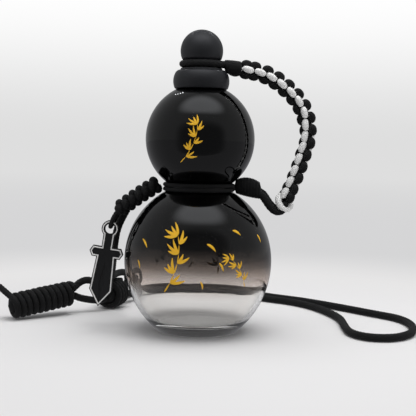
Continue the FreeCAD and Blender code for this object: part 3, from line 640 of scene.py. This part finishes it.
class GOURD_OT_stage(bpy.types.Operator):
    """Pale floor, soft studio light and the camera"""
    bl_idname = "gourd.stage"
    bl_label = "Stage"

    def execute(self, context):
        stage = context.scene.gourd_stage
        context.scene.view_settings.view_transform = "Standard"
        self.floor(stage)
        self.world(context.scene, stage)
        self.lamps()
        camera = bpy.data.objects.new("camera", bpy.data.cameras.new("camera"))
        camera.data.lens = stage.lens
        turn = Matrix.Rotation(-stage.yaw, 4, "Z") @ Matrix.Rotation(math.pi / 2 - stage.pitch, 4, "X")
        turn = turn @ Matrix.Rotation(stage.roll, 4, "Z")
        camera.matrix_world = Matrix.Translation((0, -stage.distance, stage.height)) @ turn
        context.scene.collection.objects.link(camera)
        context.scene.camera = camera
        return {"FINISHED"}

    def seen(self, tree):
        """Share of 1 for the camera's rays, also in mirrors and through glass; and one for mirrors alone."""
        rays = add_node(tree, "LightPath").outputs
        mirrored = add_node(tree, "Math", {0: rays["Is Glossy Ray"], 1: rays["Is Transmission Ray"]},
                            operation="MAXIMUM")
        every = add_node(tree, "Math", {0: rays["Is Camera Ray"], 1: mirrored}, operation="MAXIMUM")
        outside = add_node(tree, "Math", {0: rays["Transmission Depth"], 1: 0.5}, operation="LESS_THAN")
        glossy = add_node(tree, "Math", {0: rays["Is Glossy Ray"], 1: outside}, operation="MULTIPLY")
        return every, glossy

    def floor(self, stage):
        """A wide disc that keeps the shadow near the bottle and turns into the distance's tones further out.
        Below the foot it has a painted glow, standing in for the light that the clear glass lets through."""
        rings, angle = np.array((4.0, 2.0, 1.0, 0.5, 0.2)), ring_angles(64)
        grid = rings[:, None, None] * np.stack([np.cos(angle), np.sin(angle), 0 * angle], axis=-1)
        index, _, quads = ring_quads(*grid.shape[:2])
        material, tree = new_material("studio_floor")
        place = add_node(tree, "TexCoord").outputs["Object"]
        reach = add_node(tree, "VectorMath", {0: place}, operation="LENGTH").outputs["Value"]
        # Distances from the axis between which each share changes, and its values there; the last row is the
        # strength of the painted glow below the foot
        near, middle, far, painted_glow = [
            add_node(tree, "MapRange", {"Value": reach, "From Min": first, "From Max": last, "To Min": start,
                                        "To Max": end}, interpolation_type="SMOOTHSTEP")
            for first, last, start, end in ((0.2, 0.36, 0, 1), (0.26, 0.6, 0, 1), (0.6, 4.0, 0, 1),
                                            (0.02, 0.034, 0.02, 0))]
        behind = mixed(tree, middle, stage.floor[:], stage.distance_tone[:])
        tone = mixed(tree, far, behind, stage.horizon_tone[:])
        seen, glossy = self.seen(tree)
        share = add_node(tree, "Math", {0: near, 1: seen}, operation="MULTIPLY")
        matte = add_node(tree, "BsdfPrincipled",
                         {"Base Color": stage.floor[:], "Roughness": 1.0, "Specular IOR Level": 0.0,
                          # Painted glow: emission under the foot, in place of light let through the glass
                          "Emission Color": linear("#fbfaf9"), "Emission Strength": painted_glow})
        distance = add_node(tree, "Emission", {"Color": tone})
        dim = add_node(tree, "Emission", {"Color": linear("#8f8f92")})
        mix = add_node(tree, "MixShader", {0: share, 1: matte, 2: distance})
        mirror = add_node(tree, "MixShader", {0: glossy, 1: mix, 2: dim})
        add_node(tree, "OutputMaterial", {"Surface": mirror})
        self.set_out("floor", grid, quads.tolist() + [index[-1].tolist()], material)

    def set_out(self, name, points, faces, material):
        """A stage piece from its points, faces and material."""
        mesh = bpy.data.meshes.new(name)
        mesh.from_pydata(points.reshape(-1, 3).tolist(), [], faces)
        mesh.materials.append(material)
        piece = bpy.data.objects.new(name, mesh)
        bpy.context.scene.collection.objects.link(piece)
        return piece

    def world(self, scene, stage):
        """White above and the distance's tone at the horizon where it is seen, a dim room in mirrors, and a
        plain pale light otherwise."""
        scene.world = bpy.data.worlds.new("studio")
        scene.world.use_nodes = True
        tree = scene.world.node_tree
        tree.nodes.clear()
        place = add_node(tree, "TexCoord").outputs["Generated"]
        height = add_node(tree, "SeparateXYZ", {"Vector": place}).outputs["Z"]
        share = add_node(tree, "MapRange", {"Value": height, "From Min": 0.0, "From Max": 0.165},
                         interpolation_type="SMOOTHSTEP")
        tone = mixed(tree, share, stage.horizon_tone[:], stage.sky_tone[:])
        seen, glossy = self.seen(tree)
        pale = linear("#f7f8fa")
        shown, light, room = [add_node(tree, "Background", {"Color": colour, "Strength": strength})
                              for colour, strength in ((tone, 1.0), (pale, 0.5), (pale, 0.36))]
        mix = add_node(tree, "MixShader", {0: seen, 1: light, 2: shown})
        mirror = add_node(tree, "MixShader", {0: glossy, 1: mix, 2: room})
        add_node(tree, "OutputWorld", {"Surface": mirror})

    def lamps(self):
        """A soft box overhead, and cards for mirrors alone: a pale ceiling, a dim front and two lamp rows."""
        lamp = bpy.data.lights.new("soft_box", "AREA")
        lamp.shape = "RECTANGLE"
        lamp.size, lamp.size_y = 0.78, 0.62
        lamp.energy = 4.55
        box = bpy.data.objects.new("soft_box", lamp)
        box.location = (0.1, -0.02, 0.78)
        box.visible_glossy = False
        bpy.context.scene.collection.objects.link(box)
        self.card("ceiling_card", (0.02, -0.2, 0.74), (0.56, 0, 0), (0, 0.33, 0), strength=1.7)
        self.card("front_card", (0.014, -0.23, 0.135), (0.33, 0, 0), (0, 0, 0.215), strength=0.13, square=5)
        for place in range(5):
            for side, (across, step, behind, bow, wide, deep) in LAMP_ROWS.items():
                centre = (across + step * place, behind + bow * place ** 2, 0.72)
                self.card("lamp_%s_%d" % (side, place), centre, (wide, 0, 0), (0, deep, 0), strength=20.0)

    def card(self, name, centre, wide, high, strength, square=2):
        """A glow that fades out to its edge: eased 1.8 times one less the reach from its middle. The reach
        is the root of the summed powers of both shares: an oval at power 2, a rounded oblong above it."""
        steps = 17
        u, v = np.meshgrid(np.linspace(-1, 1, steps), np.linspace(-1, 1, steps))
        reach = (np.abs(u) ** square + np.abs(v) ** square) ** (1 / square)
        points = np.array(centre) + u[..., None] * np.array(wide) + v[..., None] * np.array(high)
        index = np.arange(steps * steps).reshape(steps, steps)
        quads = np.stack([index[:-1, :-1], index[:-1, 1:], index[1:, 1:], index[1:, :-1]], axis=-1)
        material, tree = new_material(name)
        fade = add_node(tree, "Attribute", attribute_name="glow").outputs["Fac"]
        light = add_node(tree, "Emission", {"Color": linear("#f4f6fa"), "Strength": strength})
        mix = add_node(tree, "MixShader", {0: fade, 1: add_node(tree, "BsdfTransparent"), 2: light})
        add_node(tree, "OutputMaterial", {"Surface": mix})
        card = self.set_out(name, points, quads.reshape(-1, 4).tolist(), material)
        glow = card.data.attributes.new("glow", "FLOAT", "POINT")
        glow.data.foreach_set("value", smooth(1.8 * (1 - reach)).ravel().astype(np.float32))
        for ray in ("camera", "diffuse", "transmission", "shadow", "volume_scatter"):
            setattr(card, "visible_" + ray, False)


class GOURD_OT_strap(bpy.types.Operator):
    """Shoulder strap: four stretches of cord and two wrapped knots"""
    bl_idname = "gourd.strap"
    bl_label = "Strap"

    def execute(self, context):
        cord, black = context.scene.gourd_cord, yarn(context.scene, "black")
        knots = {name: dress(name, self.knot(cord, *measures), black, "bottle", "black_cord", name)
                 for name, measures in BARREL_KNOTS.items()}
        for name, (route, lay, on_it) in STRETCHES.items():
            path = spline_line(route, step=0.45 * MM)
            sheath = cord_skin(path, cord.strap, UP, cord.stitch, sides=48)
            piece = dress(name, [sheath], black, "bottle", "black_cord", name)
        return {"FINISHED"}

    def knot(self, cord, foot, direction, core_radius, turns, first_angle, tail):
        """Barrel knot: a cord wound round a straight axis, a pitch of advance each turn, over a plain core.
        Slow waves make its turns a little uneven."""
        foot = np.array(foot) * MM
        axis = unit(np.array(direction))
        level = unit(np.cross(axis, UP))
        upward = np.cross(level, axis)
        wrap, pitch, radius = WOUND_CORD * MM, WOUND_PITCH * MM, (core_radius + WOUND_PITCH / 2) * MM
        turned = np.linspace(0, 2 * np.pi * turns, 48 * turns)
        angle = turned + math.radians(first_angle)
        fullness = 0.95 + 0.05 * np.sin(np.pi * turned / turned[-1]) ** 0.5 + 0.012 * np.sin(1.7 * turned)
        advance = wrap / 2 + pitch * turned / (2 * np.pi) + 0.25 * MM * np.sin(0.83 * turned)
        outward = np.cos(angle)[:, None] * upward + np.sin(angle)[:, None] * level
        winding = foot + advance[:, None] * axis + (radius * fullness)[:, None] * outward
        lead = np.linspace(1, 0, 20, endpoint=False)[:, None]
        before = winding[0] - lead * tail * MM * unit(winding[1] - winding[0])
        after = winding[-1] + lead[::-1] * wrap * unit(winding[-1] - winding[-2])
        path = evenly(np.concatenate([before, winding, after]), step=0.5 * MM)
        core = foot + np.linspace(0, pitch * turns + wrap, 60)[:, None] * axis
        return [cord_skin(path, cord.wrap, axis, cord.stitch, sides=36),
                cord_skin(core, 2.1 * core_radius * MM, UP, cord.stitch, sides=36)]


class GOURD_OT_glass(bpy.types.Operator):
    """Glass gourd with its lacquer and gilt sprigs"""
    bl_idname = "gourd.glass"
    bl_label = "Glass"

    def execute(self, context):
        glass = context.scene.gourd_glass
        outer = glass_face(glass, 0.0, 0.0, glass.heel_fillet)
        inner = glass_face(glass, glass.wall, glass.base, glass.inner_heel_fillet)
        half = glass.wall / 2
        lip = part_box("glass_body")[1].z - half
        middle, top = (glass.neck_radius - half, lip), (glass.neck_radius - half, lip + half)
        rim = [arc(middle, (glass.neck_radius, lip), top, 8), arc(middle, top, (0.0, lip), 8)[1:]]
        profile = np.concatenate([[(0.0, 0.0)], outer, *rim, inner[::-1], [(0.0, glass.base)]])
        columns = 160
        body = make_piece("glass_gourd", [lathe(profile, columns)], [lacquered_glass(glass), clear_glass()],
                          inside_from=len(outer) * columns)
        settle(body, "bottle", "tinted_glass", "glass_body")
        strokes = []
        for turn in (0.0, math.pi):
            middles = {"lower": glass.lower_radius * turn, "upper": glass.upper_radius * turn}
            for bulb, across, height, lean, size in SPRIGS:
                strokes += sprig_strokes(middles[bulb] + across * MM, height * MM, math.radians(lean),
                                         size * MM)
            strokes += [(middles["lower"] + across * MM, height * MM, math.radians(lean), size * MM,
                         0.11 * size * MM, 0.09) for across, height, lean, size in LEAVES]
        dress("gilt_sprigs", gilt_skins(glass, outer, strokes), gilding(glass), "bottle", "tinted_glass")
        return {"FINISHED"}


class GOURD_OT_cap(bpy.types.Operator):
    """Screw cap with its liner and gasket"""
    bl_idname = "gourd.cap"
    bl_label = "Cap"

    def execute(self, context):
        glass, cap = context.scene.gourd_glass, context.scene.gourd_cap
        moulding = lathe(self.profile(glass, cap), columns=144)
        satin = satin_plastic("satin_black_abs", cap.colour[:], grit=0.35 * MM)
        dress("cap_moulding", [moulding], satin, "cap", "cap_plastic", "cap_shell")
        milky = satin_plastic("milky_polypropylene", linear("#d9d8d2"), grit=0.5 * MM)
        silicone = soft_vinyl("white_silicone", linear("#dcdad5"))
        for node, material in (("cap_liner", milky), ("cap_gasket", silicone)):
            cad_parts[node].data.materials.clear()
            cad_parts[node].data.materials.append(material)
        return {"FINISHED"}

    def profile(self, glass, cap):
        """Knob, cord groove, flange and rounded skirt, then the hollow for the liner, from axis to axis."""
        liner_fit, loop_play, shoulder_gap, lean_angle = 0.05 * MM, 0.5 * MM, 0.4 * MM, math.radians(28)
        top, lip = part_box("cap_shell")[1].z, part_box("glass_body")[1].z
        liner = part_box("cap_liner")[1]
        loop_low, loop_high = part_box("cap_loop")
        cavity, ceiling = liner.x + liner_fit, liner.z + liner_fit
        flange_top, ball_foot = loop_low.z - loop_play, loop_high.z + loop_play
        ball = np.array((0.0, top - cap.ball_radius))
        skirt = np.array((cap.skirt_radius - cap.skirt_side_arc, lip - cap.skirt_drop))
        shoulder = np.array((glass.upper_radius - glass.upper_top_arc, glass.upper_height))
        clear = glass.upper_top_arc + shoulder_gap
        foot = outer_meeting(shoulder, clear + cap.skirt_foot_fillet, skirt,
                             cap.skirt_side_arc - cap.skirt_foot_fillet)
        foot_inner, foot_outer = towards(shoulder, foot, clear), towards(skirt, foot, cap.skirt_side_arc)
        inner_foot = (cavity, shoulder_height(glass, cavity, shoulder_gap))
        lean = np.array((math.cos(lean_angle), math.sin(lean_angle)))
        corner = skirt + lean * (cap.skirt_side_arc - cap.skirt_top_corner)
        skirt_shoulder = skirt + lean * cap.skirt_side_arc
        skirt_high = (cap.flange_radius, corner[1] + math.sqrt(
            cap.skirt_top_corner ** 2 - (cap.flange_radius - corner[0]) ** 2))
        soft = cap.edge_round
        knob_edge = (cap.ball_cut_radius - soft, ball_foot + soft)
        knob_side = (cap.ball_cut_radius, ball_foot + soft)
        flange_edge = (cap.flange_radius - soft, flange_top - soft)
        runs = [arc(ball, (0.0, top), knob_side, 40), arc(knob_edge, knob_side, (knob_edge[0], ball_foot), 6),
                [(cap.groove_radius, ball_foot), (cap.groove_radius, flange_top)],
                arc(flange_edge, (flange_edge[0], flange_top), (cap.flange_radius, flange_edge[1]), 6),
                arc(corner, skirt_high, skirt_shoulder, 16)[:-1],
                arc(skirt, skirt_shoulder, foot_outer, 24)[:-1],
                arc(foot, foot_outer, foot_inner, 8), arc(shoulder, foot_inner, inner_foot, 10)[1:-1],
                [inner_foot, (cavity, ceiling), (0.0, ceiling)]]
        return np.concatenate(runs)[::-1]


class GOURD_OT_cap_loop(bpy.types.Operator):
    """Cord loop in the cap's groove and its thread-wrapped throat"""
    bl_idname = "gourd.cap_loop"
    bl_label = "Cap loop"

    def execute(self, context):
        cord, black = context.scene.gourd_cord, yarn(context.scene, "black")
        low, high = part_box("cap_loop")
        level, radius = (low.z + high.z) / 2 / MM, cord.loop / MM / 2
        # The ring's control points lie a little outside the line that they give. A leg leads to each end
        ring, half, leave = 1.006 * (-low.x / MM - radius), radius + 0.1, math.radians(38)
        angle = np.linspace(leave, 2 * math.pi - leave, 22)
        bow = np.stack([ring * np.cos(angle), ring * np.sin(angle), 0 * angle + level], axis=1)
        leg = np.array([(20.5, half, level - 0.8), (18.0, half, level), (15.6, half, level)])
        path = spline_line(np.concatenate([leg, bow, leg[::-1] * (1, -1, 1)]), step=0.45 * MM)
        loop = cord_skin(path, cord.loop, UP, cord.stitch)
        dress("cap_loop_cord", [loop], black, "cap_tether", "black_cord", "cap_loop")
        start, end = (corner.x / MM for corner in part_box("cap_loop_whipping"))
        ovals = [(start - 1.6, 5.3, level, 3.6), (start + 4.5, 5.9, level - 2.4, 5.9),
                 (end, 5.6, level - 2.3, 4.8)]
        dress("cap_loop_throat", [wrapped_skin(ovals, cord.thread)], black, "cap_tether", "black_thread",
              "cap_loop_whipping")
        return {"FINISHED"}


def wrapped_skin(ovals, thread):
    """Thread wound over an oval sleeve along X: its halves and middle follow a parabola through three
    ovals (x, half y, middle z, half z, in millimetres), and a rounded ridge climbs one thread a turn."""
    ovals = np.array(ovals) * MM
    rows_a_thread = 8
    x = np.linspace(ovals[0, 0], ovals[2, 0], int((ovals[2, 0] - ovals[0, 0]) / thread * rows_a_thread))
    half_y, middle, half_z = (np.polyval(np.polyfit(ovals[:, 0] - x[0], column, 2), x - x[0])[:, None]
                              for column in ovals.T[1:])
    angle = ring_angles(64)
    ridge = np.abs(np.sin(np.pi * (x[:, None] - x[0]) / thread - angle / 2))
    drop = 0.45 * thread * (1 - ridge)
    end = np.minimum(x - x[0], x[-1] - x)
    closing = np.sqrt(np.clip(end / (1.2 * thread), 0.1, 1))[:, None]
    points = np.stack([x[:, None] + 0 * ridge, (half_y - drop) * closing * np.cos(angle),
                       middle + (half_z - drop) * closing * np.sin(angle)], axis=-1)
    return skin(points, (x[0], 0.0, middle[0, 0]), (x[-1], 0.0, middle[-1, 0]), ridge)


def beads(line, places, bearing, twist, size, offset, slant):
    """Crowns of a braid at distances along a line: superellipsoids of half length, width and height that
    stand off the line at a bearing, turned by the line's twist, slanted across it, both ends dipping."""
    half_length, half_width, half_height = np.array(size) * MM
    station = np.clip((places / travelled(line)[-1] * (len(line) - 1)).round().astype(int), 0, len(line) - 1)
    tangent, out, across = (vectors[station] for vectors in frames(line, ACROSS))
    turned = (math.radians(bearing) + twist[station])[:, None]
    radial = np.cos(turned) * out + np.sin(turned) * across
    heading = math.cos(slant) * tangent + math.sin(slant) * np.cross(tangent, radial)
    sideways = np.cross(radial, heading)
    polar = np.linspace(0.06 * np.pi, 0.94 * np.pi, 18)
    angle = ring_angles(20)
    along = -np.sign(np.cos(polar)) * np.abs(np.cos(polar)) ** 0.85
    girth = np.sin(polar) ** 0.72
    weave = braid(angle[None, :], along[:, None] * half_length, 2.6 * MM, 5)
    ring = (np.cos(angle) * half_width)[None, :, None] * sideways[:, None, None]
    ring = ring + (np.sin(angle) * half_height)[None, :, None] * radial[:, None, None]
    scale = (girth[:, None] * (1 - 0.05 * (1 - weave)))[None, :, :, None]
    centre = line[station] + offset * MM * radial
    spine = centre[:, None] + (along * half_length)[None, :, None] * heading[:, None]
    spine = spine - (0.3 * half_height * along ** 2)[None, :, None] * radial[:, None]
    points = spine[:, :, None] + scale * ring
    return [skin(grid[:, ::-1], middle[0], middle[-1], weave[:, ::-1]) for grid, middle in zip(points, spine)]


class GOURD_OT_handle(bpy.types.Operator):
    """Braided handle with its collar and tail"""
    bl_idname = "gourd.handle"
    bl_label = "Handle"

    def execute(self, context):
        cord = context.scene.gourd_cord
        black, white = yarn(context.scene, "black"), yarn(context.scene, "white")
        line = line_through(HANDLE_LINE, step=0.4 * MM)
        core = cord_skin(line, HANDLE_CORE * MM, ACROSS, cord.stitch)
        long = travelled(line)[-1]
        # Part of the way down the strands turn by an eighth about the line
        twist = math.radians(45) * smooth((travelled(line) / long - 0.42) / 0.2)
        counts = np.arange(HANDLE_CROWNS)
        between = np.concatenate([[0.3], counts[1:], [HANDLE_CROWNS - 0.3]])
        slant = math.radians(6)
        for shade, material, places, crown, bearings, lean, inside in [
                ("white", white, counts + 0.5, WHITE_CROWN, (90, -90), slant, []),
                ("black", black, between, BLACK_CROWN, (0, 180), -slant, [core])]:
            places = places * long / HANDLE_CROWNS
            skins = [made for bearing in bearings
                     for made in beads(line, places, bearing, twist, crown, HANDLE_OFFSET, lean)]
            piece = make_piece("handle_%s_braid" % shade, skins + inside, [material])
            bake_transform(piece)
            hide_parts("handle_%s_strands" % shade)
        dress("handle_collar_wrap", [self.collar()], white, "bottle", "white_cord", "handle_end_collar")
        shift = np.array((0.35, 2.45, 0.75))
        paths = [spline_line(np.array(TAIL_LINE) + side * shift, step=0.4 * MM) for side in (-1, 1)]
        tails = [cord_skin(path, cord.tail, ACROSS, cord.stitch) for path in paths]
        dress("handle_tail_pair", tails, black, "bottle", "black_cord", "handle_tail_cord")
        return {"FINISHED"}

    def collar(self):
        """White cord once round the braid's end: a ring tilted so that it shows below and to the left."""
        normal = unit(np.array(COLLAR_FACING))
        first = unit(np.cross(ACROSS, normal))
        second = np.cross(normal, first)
        angle = np.linspace(0, 2 * np.pi, 120)[:, None]
        path = np.array(COLLAR_CENTRE) + COLLAR_RADIUS * (np.cos(angle) * first + np.sin(angle) * second)
        return cord_skin(path * MM, COLLAR_CORD * MM, normal, stitch=2.4 * MM, sides=28)


class GOURD_OT_waist(bpy.types.Operator):
    """Cord round the waist and the wrapped knot on its right"""
    bl_idname = "gourd.waist"
    bl_label = "Waist"

    def execute(self, context):
        cord, black = context.scene.gourd_cord, yarn(context.scene, "black")
        low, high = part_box("waist_cord")
        # Two turns, the second one cord's width higher; they change over behind the knot, within its opening
        opening, overlap, radius = 26.0, 14.0, 1.5 * MM
        bearing = np.radians(np.linspace(opening - overlap, 720 - opening + overlap, 900))
        rise = smooth((np.degrees(bearing) - 360 + opening) / (2 * opening))
        ring, step = -low.x - radius, high.z - low.z - 2 * radius
        height = low.z + radius + step * rise
        path = np.stack([ring * np.cos(bearing), ring * np.sin(bearing), height], axis=1)
        turns = cord_skin(evenly(path, step=0.45 * MM), cord.waist, UP, stitch=2.2 * MM, sides=32)
        dress("waist_turns", [turns], black, "bottle", "black_cord", "waist_cord")
        start, end = (corner.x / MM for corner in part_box("waist_knot_right"))
        level = (low.z + high.z) / 2 / MM
        ovals = [(start - 1.2, 3.6, level + 0.8, 4.9), (start + 9.5, 6.4, level + 0.4, 7.4),
                 (end + 1.6, 5.4, level - 2.4, 6.0)]
        dress("waist_whipping", [wrapped_skin(ovals, 1.4 * cord.thread)], black, "bottle", "black_thread",
              "waist_knot_right")
        return {"FINISHED"}


class GOURD_OT_hanger(bpy.types.Operator):
    """Knotted hanger and the thin loop that holds the charm"""
    bl_idname = "gourd.hanger"
    bl_label = "Hanger"

    def execute(self, context):
        cord, black = context.scene.gourd_cord, yarn(context.scene, "black")
        dress("hanger_knots", self.knots(), black, "bottle", "black_cord", "hanger_knot_left")
        path = spline_line(HANGER_LOOP, step=0.35 * MM)
        loop = cord_skin(path, cord.hanger, RIGHT, stitch=2.2 * MM, sides=28)
        dress("hanger_thin_loop", [loop], black, "bottle", "black_cord", "hanger_loop")
        return {"FINISHED"}

    def knots(self):
        """Snake knot: four rows of slanted crowns, the front and back rows half a crown on, over a core."""
        start, foot = np.array(HANGER_START) * MM, np.array(HANGER_FOOT) * MM
        share = np.linspace(0, 1, 200)[:, None]
        line = evenly(start + share * (foot - start) + 3.2 * MM * share * (1 - share) * UP, step=0.3 * MM)
        pitch = travelled(line)[-1] / (HANGER_CROWNS + 0.1)
        skins = [cord_skin(line[:-8], HANGER_CORE * MM, ACROSS, stitch=2.6 * MM, sides=32)]
        for row, bearing in enumerate((0, 90, 180, 270)):
            places = (np.arange(HANGER_CROWNS) + 0.45 + 0.45 * (row % 2)) * pitch
            slant = math.radians(24 if row % 2 else -14)
            skins += beads(line, places, bearing, np.zeros(len(line)), HANGER_CROWN, HANGER_OFFSET, slant)
        return skins


class GOURD_OT_charm(bpy.types.Operator):
    """Moulded charm with its raised edging"""
    bl_idname = "gourd.charm"
    bl_label = "Charm"

    def execute(self, context):
        charm = context.scene.gourd_charm
        for node, name, colour, width, slot in [
                ("pendant_charm", "charm_moulding", charm.colour, charm.edge_round, "charm_rubber"),
                ("pendant_edging", "charm_edging_rim", charm.edging_colour, 0.15 * MM, "charm_edging")]:
            piece = self.rounded_copy(node, name, width)
            piece.data.materials.clear()
            piece.data.materials.append(soft_vinyl(name + "_vinyl", tuple(colour[:])))
            settle(piece, "charm", slot, node)
        return {"FINISHED"}

    def rounded_copy(self, node, name, width):
        """A solid's own mesh with its corners merged, its flat faces joined and its edges rounded."""
        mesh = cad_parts[node].data.copy()
        mesh.name = name
        shape = bmesh.new()
        shape.from_mesh(mesh)
        bmesh.ops.remove_doubles(shape, verts=shape.verts, dist=0.002 * MM)
        bmesh.ops.dissolve_limit(shape, angle_limit=math.radians(1), verts=shape.verts, edges=shape.edges)
        shape.to_mesh(mesh)
        shape.free()
        piece = bpy.data.objects.new(name, mesh)
        bpy.context.scene.collection.objects.link(piece)
        bevel = piece.modifiers.new("rounding", "BEVEL")
        bevel.width = width
        bevel.segments = 3
        bevel.limit_method = "ANGLE"
        bevel.angle_limit = math.radians(40)
        mesh.shade_smooth()
        mesh.set_sharp_from_angle(angle=math.radians(50))
        return piece


class GOURD_PT_panel(bpy.types.Panel):
    """Steps that build the bottle, in order"""
    bl_idname = "GOURD_PT_panel"
    bl_label = "Gourd bottle"
    bl_space_type = "VIEW_3D"
    bl_region_type = "UI"
    bl_category = "Gourd bottle"

    def draw(self, context):
        for step in STEPS:
            self.layout.operator(step.bl_idname)


GROUPS = {"gourd_glass": GourdGlass, "gourd_cap": GourdCap, "gourd_cord": GourdCord,
          "gourd_charm": GourdCharm, "gourd_stage": GourdStage}
STEPS = (GOURD_OT_stage, GOURD_OT_strap, GOURD_OT_glass, GOURD_OT_cap, GOURD_OT_cap_loop, GOURD_OT_handle,
         GOURD_OT_waist, GOURD_OT_hanger, GOURD_OT_charm)


def register():
    for group in GROUPS.values():
        bpy.utils.register_class(group)
    for step in STEPS + (GOURD_PT_panel,):
        bpy.utils.register_class(step)
    for name, group in GROUPS.items():
        setattr(bpy.types.Scene, name, bpy.props.PointerProperty(type=group))


def unregister():
    for name in GROUPS:
        delattr(bpy.types.Scene, name)
    for step in reversed(STEPS + (GOURD_PT_panel,)):
        bpy.utils.unregister_class(step)
    for group in reversed(list(GROUPS.values())):
        bpy.utils.unregister_class(group)


def main():
    """Register the add-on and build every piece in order."""
    register()
    bpy.ops.gourd.stage()
    bpy.ops.gourd.strap()
    bpy.ops.gourd.glass()
    bpy.ops.gourd.cap()
    bpy.ops.gourd.cap_loop()
    bpy.ops.gourd.handle()
    bpy.ops.gourd.waist()
    bpy.ops.gourd.hanger()
    bpy.ops.gourd.charm()


if __name__ == "__main__":
    main()
